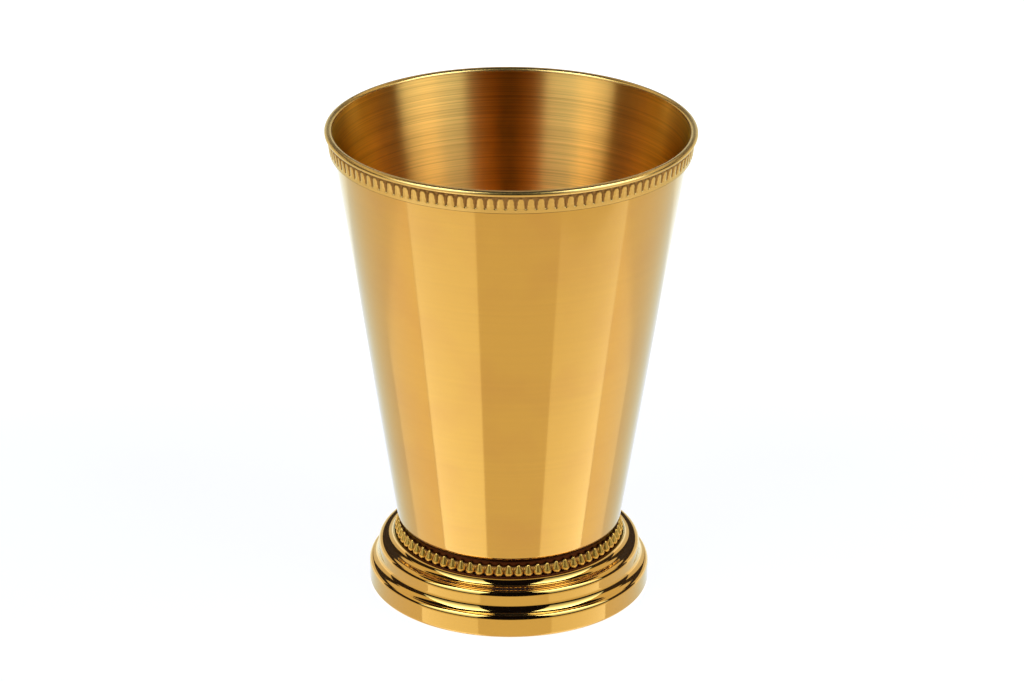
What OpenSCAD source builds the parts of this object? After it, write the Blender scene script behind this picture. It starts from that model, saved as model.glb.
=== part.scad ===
// Footed julep cup in gold-toned stainless steel.
// A drawn tumbler with a rolled lip stands on a pressed, stepped foot.
// A fluted band is brazed under the lip, and a beaded ring sits on the foot round the waist.
// Millimetres, +Z up. The origin is on the table, on the cup's own axis.

/* [Tumbler] */
// Height of the whole cup, from the table to the top of the lip
cup_h = 108; // [95:1:125]
// Diameter over the rolled lip
mouth_d = 80.8; // [76:0.2:90]
// Outside diameter of the tumbler where its wall would meet its floor in a sharp corner
waist_d = 50.2; // [49.4:0.1:54]
// Thickness of the tumbler's drawn sheet
sheet_t = 0.4; // [0.3:0.05:0.6]
// Width of the rolled lip
lip_w = 1.65; // [1.5:0.05:2]
// Height of the rolled lip, which is pressed a little flat
lip_h = 1.4; // [1.3:0.05:1.9]
// Angle at which the rolled lip's edge ends, counted from straight outwards
lip_end_angle = -90; // [-100:5:-60]
// Outside radius of the corner between the tumbler's wall and its floor
floor_corner_r = 1.2; // [0.8:0.1:1.6]

/* [Rim band] */
// Clearance between the rolled lip and the top of the band
lip_gap = 0.05; // [0.02:0.01:0.2]
// Height of the band
band_h = 3.7; // [3:0.05:5]
// Thickness of the band, square to the wall
band_t = 0.9; // [0.8:0.05:1.2]
// Height of the plain strip below the flutes
strip_h = 0.8; // [0.6:0.05:1.4]
// Depth of the flutes
flute_depth = 0.5; // [0.3:0.05:0.6]
// How many ridges stand between the flutes, all the way round
ridge_count = 118; // [90:1:118]
// Radius of each ridge at its wide lower end
ridge_base_r = 1; // [0.8:0.05:1]
// Radius of each ridge at its narrow upper end
ridge_tip_r = 0.55; // [0.4:0.05:0.65]
// How far the ridges lie below the plain strip's face
ridge_sink = 0.03; // [0.02:0.01:0.08]
// Leg of the brazed fillet under the band
rim_fillet = 0.35; // [0.2:0.05:0.6]

/* [Foot] */
// Thickness of the foot's pressed sheet
foot_t = 0.6; // [0.4:0.05:0.65]
// Outside radius of the bend at the table
toe_r = 0.7; // [0.7:0.05:1]
// Width of the flat underside that is turned in and stands on the table
toe_flange_w = 2.3; // [1.5:0.1:4]
// Height at which the upright face of the base ends
base_face_h = 4.2; // [3:0.1:4.5]
// Radius of the rounded shoulder of the base
base_shoulder_r = 1.2; // [1:0.05:1.5]
// Radius of the hollow between the base and the step
base_cove_r = 2.1; // [1.8:0.1:2.4]
// How far the base stands out beyond the step
base_overhang = 2.1; // [1.8:0.1:2.6]
// Height of the step's upright face
step_face_rise = 1.6; // [1:0.1:2.4]
// Radius of the rounded shoulder of the step
step_shoulder_r = 1.25; // [1:0.05:1.3]
// Width of the flat ledge on the step
step_ledge_w = 0.6; // [0.3:0.05:0.7]
// Radius of the hollow between the step and the bead seat
step_cove_r = 1.7; // [1.5:0.05:1.75]
// Radius of the edge of the bead seat
seat_edge_r = 0.2; // [0.1:0.05:0.3]
// Width of the flat bead seat round the neck
seat_w = 1.35; // [1.3:0.05:1.8]
// Height of the neck, from the bead seat to the seat of the tumbler
neck_h = 3.45; // [3.4:0.05:5]
// How far the neck lies inside the tumbler's waist
neck_inset = 0.7; // [0.6:0.05:0.9]
// Outside radius of the bend at the top of the neck
neck_bend_r = 0.7; // [0.7:0.05:0.9]
// Diameter of the hole in the foot's top, inside the tumbler's seat
seat_hole_d = 30; // [20:1:40]

/* [Bead ring] */
// How many beads the ring has
bead_count = 72; // [60:1:72]
// How far the beads' wide ends are centred outside the neck
bead_stand = 0.35; // [0.3:0.05:0.4]
// Width of a bead at its wide lower end
bead_d = 2.1; // [1.9:0.05:2.1]
// Width of a bead at its narrow upper end
bead_tip_d = 0.9; // [0.7:0.05:1.2]
// Height above the seat at which the beads are widest
bead_low_h = 0.45; // [0.4:0.05:0.7]
// Clearance between the beads' flat feet and the seat, on which only their strip rests
bead_clear = 0.05; // [0.03:0.01:0.1]
// Length of a bead between the middles of its two round ends
bead_len = 1.6; // [1.4:0.05:1.8]
// Thickness of the strip that carries the beads
bead_strip_t = 0.45; // [0.3:0.05:0.6]
// Height of the strip that carries the beads
bead_strip_h = 2; // [1.6:0.05:2.2]

/* [Base plate] */
// Thickness of the closing plate
plate_t = 0.6; // [0.4:0.05:1]
// Clearance between the plate's edge and the inside of the foot
plate_gap = 0.3; // [0.2:0.05:1]

/* [Hidden] */

// Segments in each rounded bend of an outline
bend_steps = 10;
// Segments in the rolled lip's outline
lip_steps = 32;
// Segment of the neck's bend at which the waist braze begins
braze_from = 2;
// Segment of the two bends up to which the waist braze climbs
braze_to = 6;
// Segments in each round end of a bead
bead_steps = 5;
// Sides of a full turn, where a turn is drawn as a mesh
turn_sides = 180;
// Sides of a single bead or ridge
bead_sides = 32;
// How far a cut runs past the solid that it cuts
overrun = 1;

mouth_r = mouth_d / 2;
waist_r = waist_d / 2;
lip_x = mouth_r - lip_w / 2;
lip_z = cup_h - lip_h / 2;

// The foot is worked out from the waist outwards, and from the table up.
neck_r = waist_r - neck_inset;
seat_x = neck_r + seat_w;
step_cove_x = seat_x + seat_edge_r + step_cove_r;
step_shoulder_x = step_cove_x + step_ledge_w;
step_r = step_shoulder_x + step_shoulder_r;
foot_r = step_r + base_overhang;
base_shoulder_x = foot_r - base_shoulder_r;
base_cove_x = step_r + base_cove_r;
seat_hole_r = seat_hole_d / 2;
toe_x = foot_r - toe_r;
toe_inner_r = toe_x - toe_flange_w;

// The base's shoulder and the hollow above it meet on one slope.
base_slope = acos(1 - base_overhang / (base_shoulder_r + base_cove_r));
base_cove_z = base_face_h + (base_shoulder_r + base_cove_r) * sin(base_slope);
step_face_z = base_cove_z + step_face_rise;
step_cove_z = step_face_z + step_shoulder_r + step_cove_r;
seat_z = step_cove_z + seat_edge_r;
foot_h = seat_z + neck_h;
inner_cove_start = asin((foot_t - seat_edge_r) / (step_cove_r + foot_t));
neck_bend_x = neck_r - neck_bend_r;
neck_bend_z = foot_h - neck_bend_r;

// The wall's outer face runs from the waist and touches the oval hollow of the lip.
// With heights stretched by the oval's flatness the hollow is a circle, and the touching line is easy.
hollow_half_w = lip_w / 2 - sheet_t;
hollow_half_h = lip_h / 2 - sheet_t;
flatness = hollow_half_w / hollow_half_h;
lip_rise = (lip_z - foot_h) * flatness;
lip_reach = lip_x - waist_r;
lip_far = sqrt(lip_rise * lip_rise + lip_reach * lip_reach);
hollow_lean = atan2(lip_reach, lip_rise) - asin(hollow_half_w / lip_far);
wall_lean = atan(tan(hollow_lean) * flatness);
lip_lean = atan(tan(wall_lean) * lip_h / lip_w);
function wall_r(z) = waist_r + (z - foot_h) * tan(wall_lean);

floor_corner_z = foot_h + floor_corner_r;
floor_corner_x = wall_r(floor_corner_z) - floor_corner_r / cos(wall_lean);

band_top_z = cup_h - lip_h - lip_gap;
band_bottom_z = band_top_z - band_h;
strip_top_z = band_bottom_z + strip_h;
band_out = band_t / cos(wall_lean);
function band_r(z) = wall_r(z) + band_out;

ridge_rise = band_top_z - strip_top_z;
ridge_flare = asin((ridge_base_r - ridge_tip_r) / ridge_rise);
ridge_tilt = wall_lean + ridge_flare;
ridge_len = (ridge_rise - ridge_tip_r * sin(ridge_tilt)) / cos(ridge_tilt);
ridge_in = (ridge_base_r + ridge_sink) / cos(wall_lean);

bead_r = bead_d / 2;
bead_tip_r = bead_tip_d / 2;
bead_x = neck_r + bead_stand;
bead_flare = asin((bead_r - bead_tip_r) / bead_len);
bead_under = bead_low_h - bead_clear;
plate_r = foot_r - foot_t - plate_gap;

gold = "#d9a441";
brushed_gold = "#c9973f";
braze_gold = "#b98632";

// Points on an oval about (x, z), from one angle of its stretched circle to another
function oval(x, z, half_w, half_h, from, to, steps) =
    [for (i = [0 : steps]) let (a = from + (to - from) * i / steps) [x + half_w * cos(a), z + half_h * sin(a)]];

// Points on an arc about (x, z), from one angle to another
function arc(x, z, r, from, to) = oval(x, z, r, r, from, to, bend_steps);

// The points of a list from one place to another
function between(points, from, to) = [for (i = [from : to]) points[i]];

// A list of points, last one first
function backwards(points) = [for (i = [len(points) - 1 : -1 : 0]) points[i]];

// The rounded corner under the tumbler, from its floor to its wall
under_corner = arc(floor_corner_x, floor_corner_z, floor_corner_r, -90, -wall_lean);

// The rounded top of the neck, from its flat seat to its upright side
neck_bend = arc(neck_bend_x, neck_bend_z, neck_bend_r, 90, 0);

// Drawn tumbler: floor, tapered wall and rolled lip in one sheet
module cup_body() {
    color(brushed_gold)
        rotate_extrude($fn = turn_sides)
            polygon(concat(
                [[0, foot_h]],
                under_corner,
                oval(lip_x, lip_z, hollow_half_w, hollow_half_h, 180 - hollow_lean, lip_end_angle, lip_steps),
                oval(lip_x, lip_z, lip_w / 2, lip_h / 2, lip_end_angle, 180 - lip_lean, lip_steps),
                arc(floor_corner_x, floor_corner_z, floor_corner_r - sheet_t, -wall_lean, -90),
                [[0, foot_h + sheet_t]]
            ));
}

// One ridge of the rim band: a cone whose outer line runs along the band's face
module ridge() {
    translate([band_r(strip_top_z) - ridge_in, 0, strip_top_z])
        rotate([0, ridge_tilt, 0])
            cylinder(r1 = ridge_base_r, r2 = ridge_tip_r, h = ridge_len, $fn = bead_sides);
}

// Fluted band that is wrapped round the mouth and brazed to the wall under the lip
module rim_band() {
    floor_out = flute_depth / cos(wall_lean);
    low_z = band_bottom_z - overrun;
    high_z = band_top_z + overrun;
    color(gold)
        difference() {
            union() {
                rotate_extrude($fn = turn_sides)
                    polygon([
                        [wall_r(band_bottom_z) - overrun, band_bottom_z],
                        [band_r(band_bottom_z), band_bottom_z],
                        [band_r(strip_top_z), strip_top_z],
                        [band_r(strip_top_z) - floor_out, strip_top_z],
                        [band_r(band_top_z) - floor_out, band_top_z],
                        [wall_r(band_top_z) - overrun, band_top_z]
                    ]);
                for (i = [0 : ridge_count - 1])
                    rotate([0, 0, (i + 1 / 2) * 360 / ridge_count])
                        ridge();
            }
            rotate_extrude($fn = turn_sides)
                polygon([[0, low_z], [wall_r(low_z), low_z], [wall_r(high_z), high_z], [0, high_z]]);
        }
}

// Brazed fillet in the corner between the band's lower edge and the wall
module rim_braze() {
    fillet_z = band_bottom_z - rim_fillet;
    color(braze_gold)
        rotate_extrude($fn = turn_sides)
            polygon([
                [wall_r(fillet_z), fillet_z],
                [wall_r(band_bottom_z) + rim_fillet, band_bottom_z],
                [wall_r(band_bottom_z), band_bottom_z]
            ]);
}

// One upright bead with round ends, wide below and narrow above, about the middle of its wide end
module bead() {
    rotate_extrude($fn = bead_sides)
        polygon(concat(
            [[0, -bead_under]],
            oval(0, 0, bead_r, bead_r, -asin(bead_under / bead_r), bead_flare, bead_steps),
            oval(0, bead_len, bead_tip_r, bead_tip_r, bead_flare, 90, bead_steps)
        ));
}

// Ring of beads that is slipped over the neck and rests on the bead seat
module bead_ring() {
    color(gold)
        difference() {
            union() {
                translate([0, 0, seat_z])
                    cylinder(r = neck_r + bead_strip_t, h = bead_strip_h, $fn = turn_sides);
                for (i = [0 : bead_count - 1])
                    rotate([0, 0, i * 360 / bead_count])
                        translate([bead_x, 0, seat_z + bead_low_h])
                            bead();
            }
            translate([0, 0, seat_z - overrun])
                cylinder(r = neck_r, h = neck_h + overrun, $fn = turn_sides);
        }
}

// Pressed foot in one sheet: turned-in toe, base, step, bead seat, neck and the tumbler's seat
module foot_shell() {
    color(gold)
        rotate_extrude($fn = turn_sides)
            polygon(concat(
                [[toe_inner_r, 0]],
                arc(toe_x, toe_r, toe_r, -90, 0),
                arc(base_shoulder_x, base_face_h, base_shoulder_r, 0, base_slope),
                arc(base_cove_x, base_cove_z, base_cove_r, 180 + base_slope, 180),
                arc(step_shoulder_x, step_face_z, step_shoulder_r, 0, 90),
                arc(step_cove_x, step_cove_z, step_cove_r, 270, 180),
                arc(seat_x, step_cove_z, seat_edge_r, 0, 90),
                [[neck_r, seat_z]],
                backwards(neck_bend),
                [[seat_hole_r, foot_h], [seat_hole_r, foot_h - foot_t]],
                arc(neck_bend_x, neck_bend_z, neck_bend_r - foot_t, 90, 0),
                [[neck_r - foot_t, seat_z - foot_t]],
                arc(step_cove_x, step_cove_z, step_cove_r + foot_t, 180 + inner_cove_start, 270),
                arc(step_shoulder_x, step_face_z, step_shoulder_r - foot_t, 90, 0),
                arc(base_cove_x, base_cove_z, base_cove_r + foot_t, 180, 180 + base_slope),
                arc(base_shoulder_x, base_face_h, base_shoulder_r - foot_t, base_slope, 0),
                arc(toe_x, toe_r, toe_r - foot_t, 0, -90),
                [[toe_inner_r, foot_t]]
            ));
}

// Braze that fills the crevice between the tumbler's rounded corner and the neck
module foot_braze() {
    color(braze_gold)
        rotate_extrude($fn = turn_sides)
            polygon(concat(
                between(neck_bend, braze_from, braze_to),
                backwards(between(under_corner, 0, braze_to))
            ));
}

// Plate that closes the foot from below, resting on the turned-in toe
module base_plate() {
    color(gold)
        translate([0, 0, foot_t])
            cylinder(r = plate_r, h = plate_t, $fn = turn_sides);
}

cup_body();
rim_band();
rim_braze();
bead_ring();
foot_shell();
foot_braze();
base_plate();
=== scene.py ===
# %% [markdown]
# # A footed julep cup in gold-toned stainless steel
# This lesson dresses a small metal cup: a tapered tumbler with a rolled lip, a fluted band under the lip,
# a ring of beads round the waist and a stepped, pressed foot. The shapes were made first as exact solids,
# and this script loads them as a fixed frame. All lengths below are in millimetres until a mesh is made,
# because that is how such a cup is drawn; Blender itself works in metres.

# %% Load the frame
import math

import bpy
from mathutils import Matrix, Vector


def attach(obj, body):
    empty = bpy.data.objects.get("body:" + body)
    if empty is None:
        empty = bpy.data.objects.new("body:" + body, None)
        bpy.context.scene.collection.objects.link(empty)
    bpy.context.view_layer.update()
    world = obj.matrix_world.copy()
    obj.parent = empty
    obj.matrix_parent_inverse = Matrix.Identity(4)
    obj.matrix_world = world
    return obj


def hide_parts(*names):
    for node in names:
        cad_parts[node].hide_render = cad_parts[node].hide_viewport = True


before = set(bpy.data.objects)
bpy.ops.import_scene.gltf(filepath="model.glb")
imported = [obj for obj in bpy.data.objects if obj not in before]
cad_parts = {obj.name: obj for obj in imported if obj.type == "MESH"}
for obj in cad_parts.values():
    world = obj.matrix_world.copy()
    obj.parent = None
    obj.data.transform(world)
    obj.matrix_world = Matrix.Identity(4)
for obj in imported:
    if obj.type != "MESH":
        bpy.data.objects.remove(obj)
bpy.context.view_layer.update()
print("frame nodes:", ", ".join(sorted(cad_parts)))

# %% [markdown]
# ## Sizes of the real cup
# Each size is the one of the solid that the mesh stands for, so nothing leaves the frame. The wall's outer
# face is a straight cone: its radius grows with the height by the tangent of the lean.

# %% Sizes in millimetres
MM = 0.001
CUP_H = 108.0
MOUTH_R = 40.4
LIP_W = 1.65
LIP_H = 1.4
SHEET_T = 0.4
WAIST_R = 25.1
FLOOR_CORNER_R = 1.2

NECK_R = WAIST_R - 0.7
SEAT_X = NECK_R + 1.35
SEAT_EDGE_R = 0.2
STEP_COVE_R = 1.7
STEP_LEDGE_W = 0.6
STEP_SHOULDER_R = 1.25
BASE_OVERHANG = 2.1
BASE_SHOULDER_R = 1.2
BASE_COVE_R = 2.1
BASE_FACE_H = 4.2
STEP_FACE_RISE = 1.6
NECK_H = 3.45
NECK_BEND_R = 0.7
TOE_R = 0.7
TOE_FLANGE_W = 2.3
FOOT_T = 0.6
SEAT_HOLE_R = 15.0

STEP_COVE_X = SEAT_X + SEAT_EDGE_R + STEP_COVE_R
STEP_SHOULDER_X = STEP_COVE_X + STEP_LEDGE_W
STEP_R = STEP_SHOULDER_X + STEP_SHOULDER_R
FOOT_R = STEP_R + BASE_OVERHANG
BASE_SLOPE = math.degrees(math.acos(1 - BASE_OVERHANG / (BASE_SHOULDER_R + BASE_COVE_R)))
BASE_COVE_Z = BASE_FACE_H + (BASE_SHOULDER_R + BASE_COVE_R) * math.sin(math.radians(BASE_SLOPE))
STEP_FACE_Z = BASE_COVE_Z + STEP_FACE_RISE
STEP_COVE_Z = STEP_FACE_Z + STEP_SHOULDER_R + STEP_COVE_R
SEAT_Z = STEP_COVE_Z + SEAT_EDGE_R
FOOT_H = SEAT_Z + NECK_H

LIP_X = MOUTH_R - LIP_W / 2
LIP_Z = CUP_H - LIP_H / 2
HOLLOW_HALF_W = LIP_W / 2 - SHEET_T
HOLLOW_HALF_H = LIP_H / 2 - SHEET_T
FLATNESS = HOLLOW_HALF_W / HOLLOW_HALF_H

# The wall runs up as a tangent to the oval hollow of the rolled lip. The tangent is found with all heights
# stretched until that oval is a circle, and stretched back afterwards.
rise, reach = (LIP_Z - FOOT_H) * FLATNESS, LIP_X - WAIST_R
HOLLOW_LEAN = math.degrees(math.atan2(reach, rise) - math.asin(HOLLOW_HALF_W / math.hypot(rise, reach)))
LEAN = math.degrees(math.atan(math.tan(math.radians(HOLLOW_LEAN)) * FLATNESS))
LIP_LEAN = math.degrees(math.atan(math.tan(math.radians(LEAN)) * LIP_H / LIP_W))


def wall_r(z):
    """Outer radius of the tapered wall at height z."""
    return WAIST_R + (z - FOOT_H) * math.tan(math.radians(LEAN))


print(f"seat of the tumbler {FOOT_H:.2f} mm, lean of the wall {LEAN:.2f} degrees, foot {2 * FOOT_R:.1f} mm wide")

# %% [markdown]
# ## Turning an outline into a mesh
# Nearly everything here is turned or spun metal, so one outline of (radius, height) points is swept round the
# axis. A polished surface shows every flaw in its normals. Rounded bends therefore get many short segments,
# and each straight stretch gets a point close to both ends, so that the smooth shading of a bend does not
# leak along a whole wall. A screw modifier could sweep the outline as well, but here the faces are written out,
# because the flutes and the beads below need the same kind of mesh with a face that changes on its way round.

# %% Outline helpers
ARC_STEPS = 20
FEW_STEPS = 6
TURN_SIDES = 384
ON_AXIS = 1e-9


def oval(x, z, half_w, half_h, start, stop, steps):
    """Points on an oval about (x, z), angles in degrees of its stretched circle."""
    angles = [math.radians(start + (stop - start) * i / steps) for i in range(steps + 1)]
    return [(x + half_w * math.cos(a), z + half_h * math.sin(a)) for a in angles]


def arc(x, z, r, start, stop, steps=ARC_STEPS):
    """Points on an arc about (x, z), angles in degrees."""
    return oval(x, z, r, r, start, stop, steps)


def with_holding_points(outline, near=0.15, longest=3.0):
    """The outline with extra points near both ends of each straight stretch and along it."""
    held = []
    for (x0, z0), (x1, z1) in zip(outline, outline[1:] + outline[:1]):
        length = math.hypot(x1 - x0, z1 - z0)
        shares = [0.0]
        if length > 3 * near:
            inner = max(1, math.ceil(length / longest))
            ends = near / length
            shares += [ends + (1 - 2 * ends) * i / inner for i in range(inner + 1)]
        held += [(x0 + (x1 - x0) * s, z0 + (z1 - z0) * s) for s in shares]
    return held


# %% Mesh helpers
def mesh_piece(name, points, faces, crease=35):
    """A named piece of the cup that rides on the frame's one body."""
    mesh = bpy.data.meshes.new(name)
    mesh.from_pydata([(x * MM, y * MM, z * MM) for x, y, z in points], [], faces)
    mesh.polygons.foreach_set("use_smooth", [True] * len(mesh.polygons))
    mesh.set_sharp_from_angle(angle=math.radians(crease))
    mesh.update()
    piece = bpy.data.objects.new(name, mesh)
    bpy.context.scene.collection.objects.link(piece)
    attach(piece, "root")
    print(f"{name}: {len(points)} points, {len(faces)} faces")
    return piece


def turned(name, outline):
    """A closed outline swept round the axis. Points on the axis become single points."""
    points, rows = [], []
    for x, z in outline:
        if x < ON_AXIS:
            rows.append([len(points)] * TURN_SIDES)
            points.append((0.0, 0.0, z))
            continue
        rows.append(list(range(len(points), len(points) + TURN_SIDES)))
        for k in range(TURN_SIDES):
            a = 2 * math.pi * k / TURN_SIDES
            points.append((x * math.cos(a), x * math.sin(a), z))
    faces = []
    for i, low in enumerate(rows):
        high = rows[(i + 1) % len(rows)]
        for k in range(TURN_SIDES):
            n = (k + 1) % TURN_SIDES
            corners = [low[k], low[n], high[n], high[k]]
            corners = [c for j, c in enumerate(corners) if c not in corners[:j]]
            if len(corners) > 2:
                faces.append(corners)
    return mesh_piece(name, points, faces)


def faces_round(columns, rows):
    """Faces that join closed columns of points, each with the next one round the axis."""
    faces = []
    for k in range(columns):
        here, there = k * rows, (k + 1) % columns * rows
        for i in range(rows):
            j = (i + 1) % rows
            faces.append([here + i, there + i, there + j, here + j])
    return faces


# %% [markdown]
# ## The tumbler
# The real tumbler is drawn from one disc of steel: flat floor, small corner, straight tapered wall, and a lip
# rolled outwards until its edge tucks under, pressed a little flat. Its outline goes up the outside, round the
# hollow of the curl, back over the curl's outside and down the inside, so the sheet keeps its true thickness of
# 0.4 mm. A solid cone with a ring on top would be quicker, but would show no rolled edge from below.

# %% Tumbler
HOLLOW_STEPS = 40
LIP_STEPS = 64
corner_z = FOOT_H + FLOOR_CORNER_R
corner_x = wall_r(corner_z) - FLOOR_CORNER_R / math.cos(math.radians(LEAN))
cup_outline = (
    [(0.0, FOOT_H)]
    + arc(corner_x, corner_z, FLOOR_CORNER_R, -90, -LEAN)
    + oval(LIP_X, LIP_Z, HOLLOW_HALF_W, HOLLOW_HALF_H, 180 - HOLLOW_LEAN, -90, HOLLOW_STEPS)
    + oval(LIP_X, LIP_Z, LIP_W / 2, LIP_H / 2, -90, 180 - LIP_LEAN, LIP_STEPS)
    + arc(corner_x, corner_z, FLOOR_CORNER_R - SHEET_T, -LEAN, -90)
    + [(0.0, FOOT_H + SHEET_T)]
)
cup_body = turned("tumbler", with_holding_points(cup_outline))
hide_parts("cup_body")

# %% [markdown]
# ## The fluted band
# A strip with pressed flutes is wrapped round the mouth. Each flute is a groove with steep flanks, wide and round
# at its top, that runs out in a point below; the ridges between them are gently rounded. A buffing wheel rides
# over the ridges and never reaches into the grooves, so these stay dull. They also get a darker gold as painted
# shade, and that makes them readable from afar. The face could be cut with a boolean for each flute, but 118 of
# them leave a rough mesh. Here it is worked out column by column, as a depth under the smooth strip.

# %% Band sizes
BAND_TOP_Z = CUP_H - LIP_H - 0.05
BAND_BOTTOM_Z = BAND_TOP_Z - 3.7
STRIP_H = 0.8
STRIP_TOP_Z = BAND_BOTTOM_Z + STRIP_H
BAND_T = 0.9
BAND_EDGE_R = 0.12
BAND_OUT = BAND_T / math.cos(math.radians(LEAN))
# A flute is widest at the share FLUTE_WIDEST of its height, where its half width is the share FLUTE_FULLNESS of
# FLUTE_HALF_W. It tapers to a point below by a power, and above it flares until the flutes meet.
FLUTE_DEPTH = 0.3
FLUTE_HALF_W = 0.92
FLUTE_WIDEST = 0.72
FLUTE_FULLNESS = 0.62
FLUTE_TAPER = 0.25
FLUTE_FLARE = 0.5
FLUTE_RUN_OUT = 0.12
FLANK_STEEPNESS = 1.3
# The ridge between two flutes is part of a circle, and levels off at CROWN_DEPTH under the smooth strip.
RIDGE_COUNT = 118
RIDGE_CROWN_R = 1.3
CROWN_DEPTH = 0.08
CROWN_RUN_OUT = 0.3
COLUMNS_PER_FLUTE = 20
ROWS_PER_FLUTE = 24
ROWS_PER_EDGE = 4
print(f"band {BAND_TOP_Z - BAND_BOTTOM_Z:.1f} mm high, a flute every {2 * math.pi * MOUTH_R / RIDGE_COUNT:.2f} mm")


# %% Depth of the flutes
def smooth(t):
    """An S-shaped step from 0 to 1."""
    t = min(max(t, 0.0), 1.0)
    return t * t * (3 - 2 * t)


def flute_depth_at(share, z):
    """How deep the face lies at this share of a pitch from a flute's middle, at height z."""
    if z <= STRIP_TOP_Z:
        return 0.0
    up = (z - STRIP_TOP_Z) / (BAND_TOP_Z - STRIP_TOP_Z)
    if up < FLUTE_WIDEST:
        fullness = FLUTE_FULLNESS * (up / FLUTE_WIDEST) ** FLUTE_TAPER
    else:
        fullness = FLUTE_FULLNESS + FLUTE_FLARE * (up - FLUTE_WIDEST) / (1 - FLUTE_WIDEST)
    pitch = 2 * math.pi * wall_r(z) / RIDGE_COUNT
    across = abs(share) * pitch
    from_crown = pitch / 2 - across
    crown = RIDGE_CROWN_R - math.sqrt(RIDGE_CROWN_R ** 2 - from_crown ** 2)
    flank = smooth(FLANK_STEEPNESS * (fullness - across / FLUTE_HALF_W))
    return min(crown * smooth(up / CROWN_RUN_OUT), CROWN_DEPTH) + flank * FLUTE_DEPTH * smooth(up / FLUTE_RUN_OUT)


# %% Band
def steps_up(low, high, count):
    """Heights after the first one, in even steps."""
    return [low + (high - low) * i / count for i in range(1, count + 1)]


def fluted_band():
    low_edge, high_edge = BAND_BOTTOM_Z + BAND_EDGE_R, BAND_TOP_Z - BAND_EDGE_R
    heights = ([BAND_BOTTOM_Z] + steps_up(BAND_BOTTOM_Z, low_edge, ROWS_PER_EDGE)
               + steps_up(low_edge, STRIP_TOP_Z, ROWS_PER_EDGE) + steps_up(STRIP_TOP_Z, high_edge, ROWS_PER_FLUTE)
               + steps_up(high_edge, BAND_TOP_Z, ROWS_PER_EDGE))
    columns = RIDGE_COUNT * COLUMNS_PER_FLUTE
    points = []
    for k in range(columns):
        share = (k / COLUMNS_PER_FLUTE + 0.5) % 1.0 - 0.5
        a = 2 * math.pi * k / columns
        for z in heights:
            near = min(z - BAND_BOTTOM_Z, BAND_TOP_Z - z, BAND_EDGE_R)
            rounded = BAND_EDGE_R - math.sqrt(max(0.0, BAND_EDGE_R ** 2 - (BAND_EDGE_R - near) ** 2))
            r = wall_r(z) + BAND_OUT - flute_depth_at(share, z) - rounded
            points.append((r * math.cos(a), r * math.sin(a), z))
        for z in (BAND_TOP_Z, BAND_BOTTOM_Z):
            points.append((wall_r(z) * math.cos(a), wall_r(z) * math.sin(a), z))
    faces = faces_round(columns, len(heights) + 2)
    return mesh_piece("fluted_band", points, faces, crease=30)


rim_band = fluted_band()
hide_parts("rim_band")

# %% [markdown]
# ## The ring of beads
# The beads are one casting with the strip that carries them. A bead is a teardrop: a wide ball below, a small
# ball above and a cone that touches both, so that its face leans back and mirrors the room and not the table.
# Its surface is easiest to give as a distance: below zero inside, above zero outside. Where the strip and a bead
# meet, a soft minimum of the two distances gives the small fillet that a casting has. A remesh of joined balls
# would give a fillet too, but with a coarser and less even mesh.

# %% Bead sizes
BEAD_COUNT = 72
BEAD_R = 1.05
BEAD_TIP_R = 0.45
BEAD_LOW_H = 0.45
BEAD_CLEAR = 0.05
BEAD_LEN = 1.6
BEAD_X = NECK_R + 0.35
BEAD_STRIP_R = NECK_R + 0.45
BEAD_STRIP_H = 2.0
# BEAD_MELT is how near the surfaces of bead and strip come before the fillet between them begins.
BEAD_MELT = 0.25
BEAD_TOP_Z = SEAT_Z + BEAD_LOW_H + BEAD_LEN + BEAD_TIP_R
print(f"a bead every {2 * math.pi * BEAD_X / BEAD_COUNT:.2f} mm, top of the beads at {BEAD_TOP_Z:.2f} mm")


# %% Distances to the ring
def bead_distance(x, y, z):
    """Distance to the bead that stands at angle 0: two balls and the cone between them, with a flat foot."""
    out = math.hypot(x - BEAD_X, y)
    up = z - SEAT_Z - BEAD_LOW_H
    lean = (BEAD_R - BEAD_TIP_R) / BEAD_LEN
    steep = math.sqrt(1 - lean * lean)
    along = up * steep - out * lean
    if along < 0:
        gap = math.hypot(out, up) - BEAD_R
    elif along > steep * BEAD_LEN:
        gap = math.hypot(out, up - BEAD_LEN) - BEAD_TIP_R
    else:
        gap = out * steep + up * lean - BEAD_R
    return max(gap, SEAT_Z + BEAD_CLEAR - z)


def strip_distance(r, z):
    return max(r - BEAD_STRIP_R, z - SEAT_Z - BEAD_STRIP_H, SEAT_Z - z)


def ring_distance(r, turn, z):
    """The soft minimum of the distances to bead and strip."""
    a = bead_distance(r * math.cos(turn), r * math.sin(turn), z)
    b = strip_distance(r, z)
    mix = min(max(0.5 + 0.5 * (b - a) / BEAD_MELT, 0.0), 1.0)
    return b + (a - b) * mix - BEAD_MELT * mix * (1 - mix)


# %% [markdown]
# The mesh follows from the distance. In each upright plane through the axis a fan of rays starts inside the
# strip, and each ray is searched from its far end inwards for the place where the distance becomes zero: first
# in strides, then by halving. The beads repeat, so half a bead is worked out once and mirrored round the ring.

# %% Bead ring
COLUMNS_PER_BEAD = 26
FAN = 48
FAN_Z = SEAT_Z + 1.0
RAY_REACH = 2.6
RAY_STRIDE = 0.05
HALVINGS = 14


def ray_to_ring(turn, ray):
    """Where a ray from the strip's inner face last leaves the ring, as (radius, height)."""
    dx, dz = math.cos(ray), math.sin(ray)

    def gap(t):
        return ring_distance(NECK_R + t * dx, turn, FAN_Z + t * dz)

    far = RAY_REACH
    while far > RAY_STRIDE and gap(far) > 0:
        far -= RAY_STRIDE
    near = far
    far += RAY_STRIDE
    for _ in range(HALVINGS):
        middle = (near + far) / 2
        if gap(middle) > 0:
            far = middle
        else:
            near = middle
    return NECK_R + near * dx, FAN_Z + near * dz


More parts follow.
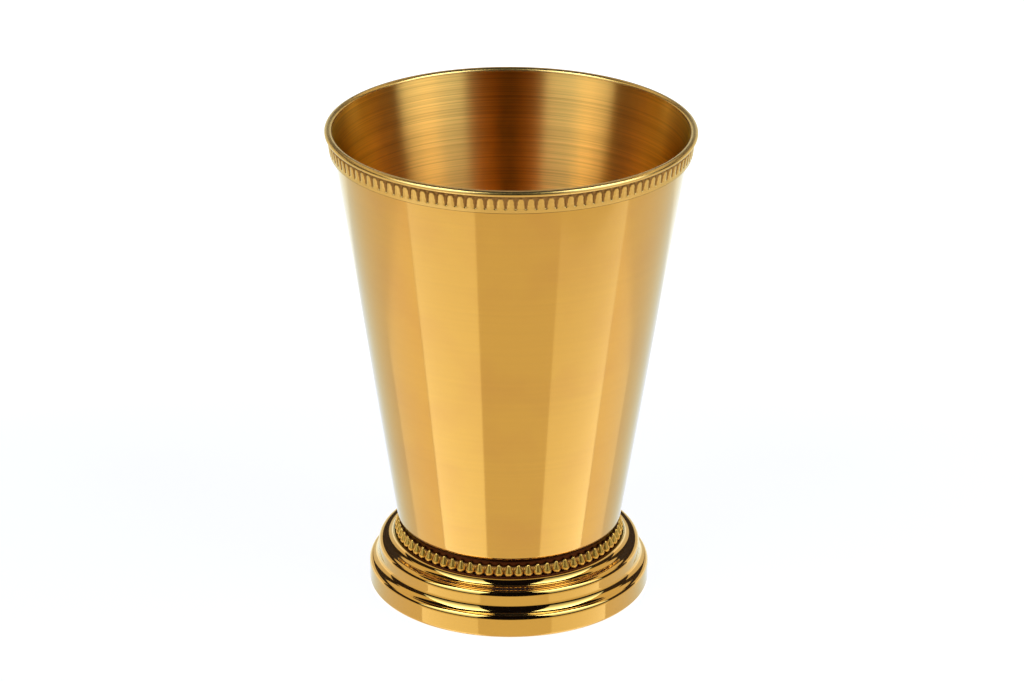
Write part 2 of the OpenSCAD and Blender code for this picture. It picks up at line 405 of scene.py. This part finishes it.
def bead_ring():
    half = COLUMNS_PER_BEAD // 2
    fan = [math.radians(-90 + 180 * i / FAN) for i in range(FAN + 1)]
    sections = [[ray_to_ring(math.pi * k / half / BEAD_COUNT, ray) for ray in fan] for k in range(half + 1)]
    columns = BEAD_COUNT * COLUMNS_PER_BEAD
    points = []
    for k in range(columns):
        place = k % COLUMNS_PER_BEAD
        a = 2 * math.pi * k / columns
        for r, z in sections[min(place, COLUMNS_PER_BEAD - place)]:
            z = min(max(z, SEAT_Z), BEAD_TOP_Z)
            points.append((r * math.cos(a), r * math.sin(a), z))
    return mesh_piece("ring_of_beads", points, faces_round(columns, FAN + 1), crease=50)


beads = bead_ring()
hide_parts("bead_ring")

# %% [markdown]
# ## The pressed foot
# The foot is one pressed sheet, 0.6 mm thick. Its outline runs up the outside through the turned-in toe, the
# upright base, a rounded shoulder, a hollow, the step and a second hollow, and then comes back on the inside
# as the same bends one sheet thinner. The inside is hardly ever seen, so its bends have fewer segments.

# %% Foot
INSIDE_STEPS = 10
SEAT_EDGE_STEPS = 8
toe_x = FOOT_R - TOE_R
base_shoulder_x = FOOT_R - BASE_SHOULDER_R
base_cove_x = STEP_R + BASE_COVE_R
neck_bend_x, neck_bend_z = NECK_R - NECK_BEND_R, FOOT_H - NECK_BEND_R
inner_start = math.degrees(math.asin((FOOT_T - SEAT_EDGE_R) / (STEP_COVE_R + FOOT_T)))
foot_outline = (
    [(toe_x - TOE_FLANGE_W, 0.0)]
    + arc(toe_x, TOE_R, TOE_R, -90, 0)
    + arc(base_shoulder_x, BASE_FACE_H, BASE_SHOULDER_R, 0, BASE_SLOPE)
    + arc(base_cove_x, BASE_COVE_Z, BASE_COVE_R, 180 + BASE_SLOPE, 180)
    + arc(STEP_SHOULDER_X, STEP_FACE_Z, STEP_SHOULDER_R, 0, 90)
    + arc(STEP_COVE_X, STEP_COVE_Z, STEP_COVE_R, 270, 180)
    + arc(SEAT_X, STEP_COVE_Z, SEAT_EDGE_R, 0, 90, SEAT_EDGE_STEPS)
    + [(NECK_R, SEAT_Z)]
    + arc(neck_bend_x, neck_bend_z, NECK_BEND_R, 0, 90)
    + [(SEAT_HOLE_R, FOOT_H), (SEAT_HOLE_R, FOOT_H - FOOT_T)]
    + arc(neck_bend_x, neck_bend_z, NECK_BEND_R - FOOT_T, 90, 0, FEW_STEPS)
    + [(NECK_R - FOOT_T, SEAT_Z - FOOT_T)]
    + arc(STEP_COVE_X, STEP_COVE_Z, STEP_COVE_R + FOOT_T, 180 + inner_start, 270, INSIDE_STEPS)
    + arc(STEP_SHOULDER_X, STEP_FACE_Z, STEP_SHOULDER_R - FOOT_T, 90, 0, INSIDE_STEPS)
    + arc(base_cove_x, BASE_COVE_Z, BASE_COVE_R + FOOT_T, 180, 180 + BASE_SLOPE, INSIDE_STEPS)
    + arc(base_shoulder_x, BASE_FACE_H, BASE_SHOULDER_R - FOOT_T, BASE_SLOPE, 0, INSIDE_STEPS)
    + arc(toe_x, TOE_R, TOE_R - FOOT_T, 0, -90, FEW_STEPS)
    + [(toe_x - TOE_FLANGE_W, FOOT_T)]
)
foot = turned("pressed_foot", with_holding_points(foot_outline))
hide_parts("foot_shell")

# %% [markdown]
# ## Brazing
# Two thin lines of braze hold the parts together: one in the corner under the band, one in the crevice between
# the tumbler's rounded corner and the neck. Molten braze wets both metals, so its free face is a hollow curve.
# Under the band that is a curve between two points, pulled towards the corner. At the waist the braze simply
# fills the wedge between the two bends, so its outline is made of parts of both.

# %% Brazes
RIM_FILLET = 0.35
RIM_FILLET_STEPS = 10
# PULL is how far the free face is drawn from the straight line towards the corner, as a share of the way.
PULL = 0.35
# The waist braze begins and ends at these shares of the quarter turn of the bends.
WAIST_BRAZE_FROM, WAIST_BRAZE_TO = 0.2, 0.6
WAIST_BRAZE_STEPS = 12


def wetted_fillet(corner, up_to, out_to):
    """A hollow fillet between two points, bent in towards the corner that it fills."""
    bend = [PULL * c + (1 - PULL) / 2 * (u + o) for c, u, o in zip(corner, up_to, out_to)]
    curve = []
    for i in range(RIM_FILLET_STEPS + 1):
        t = i / RIM_FILLET_STEPS
        weights = (1 - t) ** 2, 2 * t * (1 - t), t * t
        curve.append(tuple(sum(w * c for w, c in zip(weights, three)) for three in zip(up_to, bend, out_to)))
    return curve + [corner]


low_z = BAND_BOTTOM_Z - RIM_FILLET
band_foot_r = wall_r(BAND_BOTTOM_Z)
rim_fillet_outline = wetted_fillet(
    (band_foot_r, BAND_BOTTOM_Z), (wall_r(low_z), low_z), (band_foot_r + RIM_FILLET, BAND_BOTTOM_Z))
rim_fillet = turned("rim_braze_line", rim_fillet_outline)
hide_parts("rim_braze")

neck_side = arc(neck_bend_x, neck_bend_z, NECK_BEND_R,
                90 - WAIST_BRAZE_FROM * 90, 90 - WAIST_BRAZE_TO * 90, WAIST_BRAZE_STEPS)
cup_side = arc(corner_x, corner_z, FLOOR_CORNER_R, -90, -90 + WAIST_BRAZE_TO * (90 - LEAN), WAIST_BRAZE_STEPS)
waist_fillet = turned("waist_braze_line", neck_side + cup_side[::-1])
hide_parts("foot_braze")

# %% [markdown]
# ## The closing plate
# A flat round blank with slightly eased edges closes the foot from below. It lies on the turned-in toe.

# %% Closing plate
PLATE_R = FOOT_R - FOOT_T - 0.3
PLATE_T = 0.6
PLATE_EASE = 0.15
PLATE_LONGEST = 6.0
plate_outline = (
    [(0.0, FOOT_T)]
    + arc(PLATE_R - PLATE_EASE, FOOT_T + PLATE_EASE, PLATE_EASE, -90, 0, FEW_STEPS)
    + arc(PLATE_R - PLATE_EASE, FOOT_T + PLATE_T - PLATE_EASE, PLATE_EASE, 0, 90, FEW_STEPS)
    + [(0.0, FOOT_T + PLATE_T)]
)
plate = turned("closing_plate", with_holding_points(plate_outline, longest=PLATE_LONGEST))
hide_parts("base_plate")

# %% [markdown]
# ## Colour and nodes
# Colours are written as the hex values of a picture and turned to linear light by one function. One other
# small function adds a shader node with its settings and links, which keeps the node trees readable.

# %% Colour and node helpers
def linear(hex_colour):
    """An sRGB hex value as linear light, with full alpha."""
    parts = [int(hex_colour[i:i + 2], 16) / 255 for i in (1, 3, 5)]
    return tuple(c / 12.92 if c <= 0.04045 else ((c + 0.055) / 1.055) ** 2.4 for c in parts) + (1.0,)


def add(tree, kind, links=(), **settings):
    """Adds a node. Settings name its properties or inputs, links are (input, output) pairs."""
    node = tree.nodes.new(kind)
    for key, value in settings.items():
        if hasattr(node, key):
            setattr(node, key, value)
        else:
            node.inputs[key.replace("_", " ")].default_value = value
    for target, source in links:
        tree.links.new(source, node.inputs[target])
    return node


def new_material(name):
    material = bpy.data.materials.new(name)
    material.use_nodes = True
    material.node_tree.nodes.clear()
    return material, material.node_tree


# %% [markdown]
# ## Gold-toned stainless steel
# The colour is a thin gold plating on polished steel. It is a metal to the eye: all its light is reflection,
# tinted a warm yellow. Over it lies a clear lacquer, as on most gold-toned tableware. The lacquer adds a little
# white mirror image of its own, hardly any face on and much at a glancing angle, which is why the sides of the
# cup look pale. Handling adds a faint film, which the shader has as sheen.
# What differs between the pieces is how the steel under the gold was finished:
# - The foot is buffed to a mirror.
# - The wall outside is buffed too, but a wheel that runs round it leaves hairlines along the circumference, and
#   use leaves faint cloudy marks, in relief and as stains that are a little more orange.
# - The lip and the band only have the softer shine of rolling and pressing, and the beads that of a casting.
# - The inside is satin: an abrasive belt has left grooves round the wall, so its reflections smear up and down
#   and stay sharp from side to side. The real grooves are finer than a picture can show, so they are drawn at
#   about a quarter of a millimetre.
# - No wheel reaches the hollows of the flutes, the gaps between the beads and the crevice above them. The metal
#   there is matt, and light only leaves it after several reflections, each of which browns it. Following such
#   light takes many samples, so the recesses get a darker gold instead, as painted shade.

# %% Gold colours
GOLD = linear("#CC9214")
GOLD_EDGE = linear("#E0ECBC")
GOLD_STAIN = linear("#C07F10")
GOLD_PRESSED = linear("#D29E3E")
GOLD_CAST = linear("#E6A836")
GOLD_SATIN = linear("#E2A846")
# The last two golds are painted shade: darker golds that stand in for the light that recesses and crevices lose.
VALLEY_SHADE = linear("#9A6A30")
CREVICE_SHADE = linear("#4E240C")
FILM = linear("#EADFC8")
print("gold in linear light:", [round(c, 3) for c in GOLD[:3]])

# %% [markdown]
# The grooves are a noise that is stretched far along the metal and squeezed across it. They run round the axis,
# so the squeezed direction has to climb a wall and cross a floor alike. The height less the radius does both. The
# same noise gives the relief and a slight streak in the colour.

# %% Patterns in the metal
CLOUD_MM = 14.0
MIX_A, MIX_B, MIX_RESULT = 6, 7, 2


def groove_pattern(tree, place, groove_mm, groove_len_mm):
    """Grooves round the axis, with their real width and length in millimetres."""
    split = add(tree, "ShaderNodeSeparateXYZ", [("Vector", place.outputs["Object"])])
    plan = add(tree, "ShaderNodeCombineXYZ", [("X", split.outputs["X"]), ("Y", split.outputs["Y"])])
    radius = add(tree, "ShaderNodeVectorMath", [(0, plan.outputs[0])], operation="LENGTH")
    climb = add(tree, "ShaderNodeMath", [(0, split.outputs["Z"]), (1, radius.outputs["Value"])],
                operation="SUBTRACT")
    spun = add(tree, "ShaderNodeCombineXYZ",
               [("X", split.outputs["X"]), ("Y", split.outputs["Y"]), ("Z", climb.outputs[0])])
    along, across = 1.0 / (groove_len_mm * MM), 1.0 / (groove_mm * MM)
    stretched = add(tree, "ShaderNodeMapping", [("Vector", spun.outputs[0])], Scale=(along, along, across))
    return add(tree, "ShaderNodeTexNoise", [("Vector", stretched.outputs[0])],
               Scale=1.0, Detail=2.0, Roughness=0.6)


def streaky(tree, colour, streak, grooves):
    """The colour, by this share darker in some grooves and lighter in others."""
    spread = add(tree, "ShaderNodeMapRange", [("Value", grooves.outputs["Fac"])], From_Min=0.3, From_Max=0.7)
    tint = add(tree, "ShaderNodeMix", [("Factor", spread.outputs[0])], data_type="RGBA")
    tint.inputs[MIX_A].default_value = tuple(c * (1 - streak) for c in colour[:3]) + (1.0,)
    tint.inputs[MIX_B].default_value = tuple(min(1.0, c * (1 + streak)) for c in colour[:3]) + (1.0,)
    return tint.outputs[MIX_RESULT]


def stained(tree, shown, clouds):
    """The colour, with faint stains where the clouds are dense."""
    patch = add(tree, "ShaderNodeMapRange", [("Value", clouds.outputs["Fac"])],
                From_Min=0.45, From_Max=0.75, To_Max=0.4)
    stain = add(tree, "ShaderNodeMix", [("Factor", patch.outputs[0]), (MIX_A, shown)], data_type="RGBA")
    stain.inputs[MIX_B].default_value = GOLD_STAIN
    return stain.outputs[MIX_RESULT]


# %% Gold-plated steel
def gold_steel(name, colour, roughness, groove_mm, groove_len_mm, groove_height_mm, streak,
               smear=0.0, lacquer=0.0, film=0.0, cloud_height_mm=0.0):
    """Gold-plated steel with grooves round the axis. Sizes are real millimetres; smear is the anisotropy."""
    material, tree = new_material(name)
    place = add(tree, "ShaderNodeTexCoord")
    grooves = groove_pattern(tree, place, groove_mm, groove_len_mm)
    shown = streaky(tree, colour, streak, grooves)
    bump = add(tree, "ShaderNodeBump", [("Height", grooves.outputs["Fac"])],
               Strength=1.0, Distance=groove_height_mm * MM)
    if cloud_height_mm:
        clouds = add(tree, "ShaderNodeTexNoise", [("Vector", place.outputs["Object"])],
                     Scale=1.0 / (CLOUD_MM * MM), Detail=2.0, Roughness=0.5)
        bump = add(tree, "ShaderNodeBump", [("Height", clouds.outputs["Fac"]), ("Normal", bump.outputs[0])],
                   Strength=1.0, Distance=cloud_height_mm * MM)
        shown = stained(tree, shown, clouds)
    round_axis = add(tree, "ShaderNodeTangent", direction_type="RADIAL", axis="Z")
    metal = add(tree, "ShaderNodeBsdfPrincipled",
                [("Base Color", shown), ("Normal", bump.outputs[0]), ("Tangent", round_axis.outputs[0])],
                Base_Color=colour, Metallic=1.0, Roughness=roughness, Anisotropic=smear, Anisotropic_Rotation=0.25,
                Specular_Tint=GOLD_EDGE, Coat_Weight=lacquer, Coat_Roughness=min(roughness, 0.2),
                Sheen_Weight=film, Sheen_Roughness=0.5, Sheen_Tint=FILM)
    add(tree, "ShaderNodeOutputMaterial", [("Surface", metal.outputs[0])])
    return material


# %% The seven finishes
mirror_gold = gold_steel(
    "mirror_polished_gold_steel", GOLD, roughness=0.06, groove_mm=0.12, groove_len_mm=12.0,
    groove_height_mm=0.00004, streak=0.02, lacquer=1.0, film=0.06)
buffed_gold = gold_steel(
    "buffed_gold_steel", GOLD, roughness=0.08, groove_mm=0.3, groove_len_mm=60.0,
    groove_height_mm=0.0003, streak=0.02, smear=0.6, lacquer=1.0, film=0.1, cloud_height_mm=0.0022)
satin_gold = gold_steel(
    "satin_brushed_gold_steel", GOLD_SATIN, roughness=0.29, groove_mm=0.28, groove_len_mm=60.0,
    groove_height_mm=0.018, streak=0.17, smear=1.0)
FINE_GRAIN = dict(groove_mm=0.2, groove_len_mm=3.0, groove_height_mm=0.0004)
pressed_gold = gold_steel(
    "pressed_gold_steel", GOLD_PRESSED, roughness=0.26, streak=0.04, lacquer=0.5, film=0.1, **FINE_GRAIN)
cast_gold = gold_steel(
    "cast_gold_beads", GOLD_CAST, roughness=0.34, streak=0.04, lacquer=0.4, film=0.1, **FINE_GRAIN)
# These two finishes are matt, and their darker gold is painted shade.
shaded_valley_gold = gold_steel("unbuffed_gold_with_painted_shade", VALLEY_SHADE, roughness=0.45, streak=0.1, **FINE_GRAIN)
shaded_crevice_gold = gold_steel("gold_with_painted_crevice_shade", CREVICE_SHADE, roughness=0.45, streak=0.1, **FINE_GRAIN)
print("finishes:", ", ".join(m.name for m in bpy.data.materials if m.use_nodes))

# %% [markdown]
# ## Which face gets which finish
# The tumbler carries three finishes. Its inside, from the floor up to the start of the curl, is satin. The
# outside is buffed. The rolled lip only has the softer shine that rolling leaves. A face belongs to the inside
# when it lies within the outer face by more than half the sheet.

# %% Finishes of the tumbler
BUFFED, SATIN, ROLLED = 0, 1, 2
HALF_SHEET = 0.5 * SHEET_T
INNER_FACE = 0.6 * SHEET_T
LIP_SHINE_Z = LIP_Z - 0.1
FLOOR_REACH = corner_x + 0.9


def tumbler_finish(r, z, turn):
    if z > CUP_H - LIP_H:
        return ROLLED if z > LIP_SHINE_Z or r > wall_r(z) - HALF_SHEET else SATIN
    if z > corner_z:
        return SATIN if r < wall_r(z) - INNER_FACE else BUFFED
    return SATIN if z > FOOT_H + HALF_SHEET and r < FLOOR_REACH else BUFFED


def give_finishes(piece, finishes, which):
    """Each face gets the finish whose number the rule gives for its radius and height (mm) and turn (radians)."""
    for finish in finishes:
        piece.data.materials.append(finish)
    counts = [0] * len(finishes)
    for face in piece.data.polygons:
        x, y, z = (c / MM for c in face.center)
        face.material_index = which(math.hypot(x, y), z, math.atan2(y, x))
        counts[face.material_index] += 1
    print(f"{piece.name}:", ", ".join(f"{n} faces {finish.name}" for n, finish in zip(counts, finishes)))


give_finishes(cup_body, (buffed_gold, satin_gold, pressed_gold), tumbler_finish)

# %% [markdown]
# The other pieces have their recesses left dull and painted with shade, a darker gold: the band its flutes and the
# strip under the lip, and the ring the gaps between the beads and the top of its strip. The shaded line along the
# band's lower edge and the foot's neck and seat round the beads get the darkest gold, as painted shade. The braze
# under the band is as matt and as darkened as the flutes, and the one at the waist lies deep in the crevice and
# gets the darkest painted shade.

# %% Finishes and painted shade of the recesses
SHINY, DULL_AND_SHADED, PAINTED_DARK_SHADE = 0, 1, 2
# Heights, depths and radii in millimetres that say where the painted shade goes.
BAND_EDGE_SHADE_Z = BAND_BOTTOM_Z + 0.16
BAND_UNDER_LIP_SHADE_Z = BAND_TOP_Z - 0.3
FLUTE_SHADE_DEPTH = 0.11
STRIP_SHADE_Z = SEAT_Z + BEAD_STRIP_H - 0.3
STRIP_SHADE_R = BEAD_STRIP_R + 0.05
GAP_FROM_SHARE = 0.44
GAP_SHADE_R = BEAD_X + 0.3
NECK_SHADE_Z = SEAT_Z - 0.5
NECK_SHADE_R = SEAT_X + 0.3


# Painted shade: the darkest gold along the band's lower edge, a darker gold in the flutes and under the lip.
def band_finish(r, z, turn):
    if z < BAND_EDGE_SHADE_Z:
        return PAINTED_DARK_SHADE
    in_flute = z > STRIP_TOP_Z and wall_r(z) + BAND_OUT - r > FLUTE_SHADE_DEPTH
    return DULL_AND_SHADED if z > BAND_UNDER_LIP_SHADE_Z or in_flute else SHINY


# Painted shade: a darker gold in the gaps between the beads and on the top of their strip.
def bead_finish(r, z, turn):
    share = (turn * BEAD_COUNT / (2 * math.pi) + 0.5) % 1.0 - 0.5
    on_strip_top = z > STRIP_SHADE_Z and r < STRIP_SHADE_R
    in_gap = abs(share) > GAP_FROM_SHARE and r < GAP_SHADE_R
    return DULL_AND_SHADED if on_strip_top or in_gap else SHINY


# Painted shade: the darkest gold on the neck and on the seat round the beads.
def foot_finish(r, z, turn):
    return DULL_AND_SHADED if z > NECK_SHADE_Z and r < NECK_SHADE_R else SHINY


give_finishes(rim_band, (pressed_gold, shaded_valley_gold, shaded_crevice_gold), band_finish)
give_finishes(beads, (cast_gold, shaded_valley_gold), bead_finish)
give_finishes(foot, (mirror_gold, shaded_crevice_gold), foot_finish)
# Painted shade: the braze under the band gets the darker gold, the one at the waist the darkest.
for piece, finish in ((rim_fillet, shaded_valley_gold), (waist_fillet, shaded_crevice_gold), (plate, satin_gold)):
    piece.data.materials.append(finish)
    print(f"{piece.name}: {finish.name}")

# %% [markdown]
# ## The studio
# Polished metal is only as good as what it mirrors. The cup stands on a glossy white sheet that is lit from
# below, so it looks white in every reflection. Two tall soft boxes stand left and right in front of the cup, the
# right one nearer, with the camera in the gap between them, and the room behind the camera is dark. That gap
# gives the dark stripes in the middle of each bend. The boxes give the long highlights, and their mirror image
# in the sheet gives the two broad bright bands on every upright face.
# The world is white to the camera and to reflections alike. The dark room is a curved card of cloth with a lid,
# hidden from the camera only, so other viewpoints still see white around the cup. Its sides are lower and
# paler, which browns the edges of the wall a little, and one more paler card hangs behind the cup, at the height
# that the level ledges of the foot mirror.
# The sheet is open from below, so that a camera under the table sees the underside of the foot.

# %% Studio helpers
def stage_mesh(name, points, faces, material):
    mesh = bpy.data.meshes.new(name)
    mesh.from_pydata(points, [], faces)
    mesh.materials.append(material)
    piece = bpy.data.objects.new(name, mesh)
    bpy.context.scene.collection.objects.link(piece)
    return piece


def seen_directly_or_mirrored(tree):
    """1 for rays of the camera, of glossy surfaces and of glass, 0 for the light that falls on things."""
    path = add(tree, "ShaderNodeLightPath")
    seen = add(tree, "ShaderNodeMath", [(0, path.outputs["Is Camera Ray"]), (1, path.outputs["Is Glossy Ray"])],
               operation="MAXIMUM")
    return add(tree, "ShaderNodeMath", [(0, seen.outputs[0]), (1, path.outputs["Is Transmission Ray"])],
               operation="MAXIMUM")


# %% Sheet and cloth
FLOOR_LIFT = 0.86
SHEET_GREY = linear("#8C8C8C")
WHITE = (1.0, 1.0, 1.0, 1.0)


def lit_white_sheet():
    """A glossy acrylic sheet. Its IOR is higher than the real 1.5, for the strong mirror image in the photo."""
    material, tree = new_material("glossy_white_sheet")
    seen = seen_directly_or_mirrored(tree)
    lift = add(tree, "ShaderNodeMath", [(0, seen.outputs[0])], operation="MULTIPLY")
    lift.inputs[1].default_value = FLOOR_LIFT
    sheet = add(tree, "ShaderNodeBsdfPrincipled", [("Emission Strength", lift.outputs[0])],
                Base_Color=SHEET_GREY, Emission_Color=WHITE, Roughness=0.05, IOR=3.0)
    side = add(tree, "ShaderNodeNewGeometry")
    open_below = add(tree, "ShaderNodeBsdfTransparent")
    shown = add(tree, "ShaderNodeMixShader",
                [(0, side.outputs["Backfacing"]), (1, sheet.outputs[0]), (2, open_below.outputs[0])])
    add(tree, "ShaderNodeOutputMaterial", [("Surface", shown.outputs[0])])
    return material


def cloth(name, hex_colour):
    material, tree = new_material(name)
    weave = add(tree, "ShaderNodeBsdfDiffuse", Color=linear(hex_colour))
    add(tree, "ShaderNodeOutputMaterial", [("Surface", weave.outputs[0])])
    return material


# %% Floor and dark room
FLOOR_DROP = 0.02 * MM
ROOM_R = 1.3
ROOM_H = 1.6
SIDE_H = 0.75
BACK_LOW, BACK_HIGH = 0.52, 0.95
FRONT_FROM, FRONT_TO = -76, 87
SIDES_FROM, SIDES_TO = -115, 118
DEGREES_PER_PANEL = 3


def on_room_wall(azimuth):
    """A place on the room's round wall, at an angle from the camera's side, to the right."""
    a = math.radians(azimuth)
    return ROOM_R * math.sin(a), -ROOM_R * math.cos(a)


def room_wall(name, start, stop, low, high, material):
    steps = round(abs(stop - start) / DEGREES_PER_PANEL)
    angles = [start + (stop - start) * i / steps for i in range(steps + 1)]
    points = [on_room_wall(a) + (z,) for a in angles for z in (low, high)]
    faces = [[2 * i, 2 * i + 2, 2 * i + 3, 2 * i + 1] for i in range(steps)]
    return stage_mesh(name, points, faces, material)


def room_disc(name, z, material):
    points = [on_room_wall(a) + (z,) for a in range(0, 360, DEGREES_PER_PANEL)]
    return stage_mesh(name, points, [list(range(len(points)))], material)


room_disc("lit_floor", -FLOOR_DROP, lit_white_sheet())
dark_cloth = cloth("dark_cloth", "#383028")
side_cloth = cloth("side_cloth", "#7D6A54")
flags = [
    room_disc("room_lid", ROOM_H, dark_cloth),
    room_wall("room_front", FRONT_FROM, FRONT_TO, 0.0, ROOM_H, dark_cloth),
    room_wall("room_left", SIDES_FROM, FRONT_FROM, 0.0, SIDE_H, side_cloth),
    room_wall("room_right", FRONT_TO, SIDES_TO, 0.0, SIDE_H, side_cloth),
    room_wall("room_back", SIDES_TO, SIDES_FROM + 360, BACK_LOW, BACK_HIGH, side_cloth),
]
for flag in flags:
    flag.visible_camera = False
print("floor radius", ROOM_R, "m; dark room from", FRONT_FROM, "to", FRONT_TO, "degrees")

# %% [markdown]
# A soft box is an upright area lamp. A real one is never evenly bright, and here each is dimmer at its foot and
# on the side towards the camera, which gives the long highlights their soft ends. Its light is a little blue,
# because the highlights on gold stay a pale lemon in the photograph instead of turning orange.

# %% Soft boxes
SOFT_BOX_RADIANCE = 2.75
SOFT_BOX_COLOUR = (0.72, 1.0, 1.9)
DIM_SIDE, BRIGHT_SIDE = 0.7, 1.35
DIM_FOOT, BRIGHT_TOP = 0.25, 3.2


def soft_box(name, outer, inner, low, high):
    """An upright lamp over two places on the floor, between two heights. All are in metres."""
    outer, inner = Vector(outer), Vector(inner)
    across, middle = inner - outer, (outer + inner) / 2
    lamp = bpy.data.lights.new(name, "AREA")
    lamp.shape = "RECTANGLE"
    lamp.size, lamp.size_y = across.length, high - low
    lamp.energy = SOFT_BOX_RADIANCE * math.pi * across.length * (high - low)
    lamp.color = SOFT_BOX_COLOUR
    box = bpy.data.objects.new(name, lamp)
    box.location = (middle.x, middle.y, (low + high) / 2)
    box.rotation_euler = (math.radians(90), 0.0, math.atan2(across.y, across.x))
    facing = box.rotation_euler.to_matrix() @ Vector((0, 0, -1))
    faces_away = facing.x * middle.x + facing.y * middle.y > 0
    if faces_away:
        box.rotation_euler.z += math.pi
    box.visible_camera = False
    bpy.context.scene.collection.objects.link(box)
    shade_soft_box(lamp, (DIM_SIDE, BRIGHT_SIDE) if faces_away else (BRIGHT_SIDE, DIM_SIDE))
    print(f"{name}: {across.length:.2f} m wide, {high - low:.2f} m high, {lamp.energy:.1f} W")


def shade_soft_box(lamp, sides):
    """Makes the lamp dimmer at its foot and on one side."""
    lamp.use_nodes = True
    tree = lamp.node_tree
    tree.nodes.clear()
    place = add(tree, "ShaderNodeNewGeometry")
    split = add(tree, "ShaderNodeSeparateXYZ", [("Vector", place.outputs["Parametric"])])
    sideways = add(tree, "ShaderNodeMapRange", [("Value", split.outputs["X"])], To_Min=sides[0], To_Max=sides[1])
    upwards = add(tree, "ShaderNodeMapRange", [("Value", split.outputs["Y"])], To_Min=DIM_FOOT, To_Max=BRIGHT_TOP)
    both = add(tree, "ShaderNodeMath", [(0, sideways.outputs[0]), (1, upwards.outputs[0])], operation="MULTIPLY")
    glow = add(tree, "ShaderNodeEmission", [("Strength", both.outputs[0])])
    add(tree, "ShaderNodeOutputLight", [("Surface", glow.outputs[0])])


soft_box("soft_box_left", (-0.412, -0.124), (-0.179, -0.402), 0.10, 0.88)
soft_box("soft_box_right", (0.321, -0.038), (0.140, -0.212), 0.07, 0.58)

# %% [markdown]
# The world has two strengths. The camera and every reflection see it as plain white, and what it adds as light
# on surfaces is weaker, so that the soft boxes keep shaping the cup.

# %% World
WORLD_LIGHT = 0.7
world = bpy.data.worlds.new("white_surround")
bpy.context.scene.world = world
world.use_nodes = True
tree = world.node_tree
tree.nodes.clear()
seen = seen_directly_or_mirrored(tree)
plain = add(tree, "ShaderNodeBackground", Color=WHITE, Strength=WORLD_LIGHT)
white = add(tree, "ShaderNodeBackground", Color=WHITE, Strength=1.0)
shown = add(tree, "ShaderNodeMixShader", [(0, seen.outputs[0]), (1, plain.outputs[0]), (2, white.outputs[0])])
add(tree, "ShaderNodeOutputWorld", [("Surface", shown.outputs[0])])
print("world: white where it is seen,", WORLD_LIGHT, "as light")

# %% [markdown]
# ## The camera
# The camera looks down on the cup from a little over 80 cm away with a long lens, as a product photographer
# works. Place, tilt and lens were worked out from the outlines of the rim, the wall and the foot.

# %% Camera
PHOTO_W_PX = 1024.0
FOCAL_PX = 3560.0
CAMERA_PLACE = (0.437, -725.0, 368.0)
LOOKING_DOWN = 23.183
ROLL = 0.338
lens = bpy.data.cameras.new("camera")
lens.sensor_width = 36.0
lens.lens = 36.0 * FOCAL_PX / PHOTO_W_PX
lens.clip_start = 0.01
camera = bpy.data.objects.new("camera", lens)
bpy.context.scene.collection.objects.link(camera)
camera.matrix_world = (Matrix.Translation(Vector(CAMERA_PLACE) * MM)
                       @ Matrix.Rotation(math.radians(90 - LOOKING_DOWN), 4, "X")
                       @ Matrix.Rotation(math.radians(ROLL), 4, "Z"))
bpy.context.scene.camera = camera
bpy.context.scene.view_settings.view_transform = "Standard"
print("lens", round(lens.lens, 1), "mm,", round(Vector(CAMERA_PLACE).length), "mm from the foot")
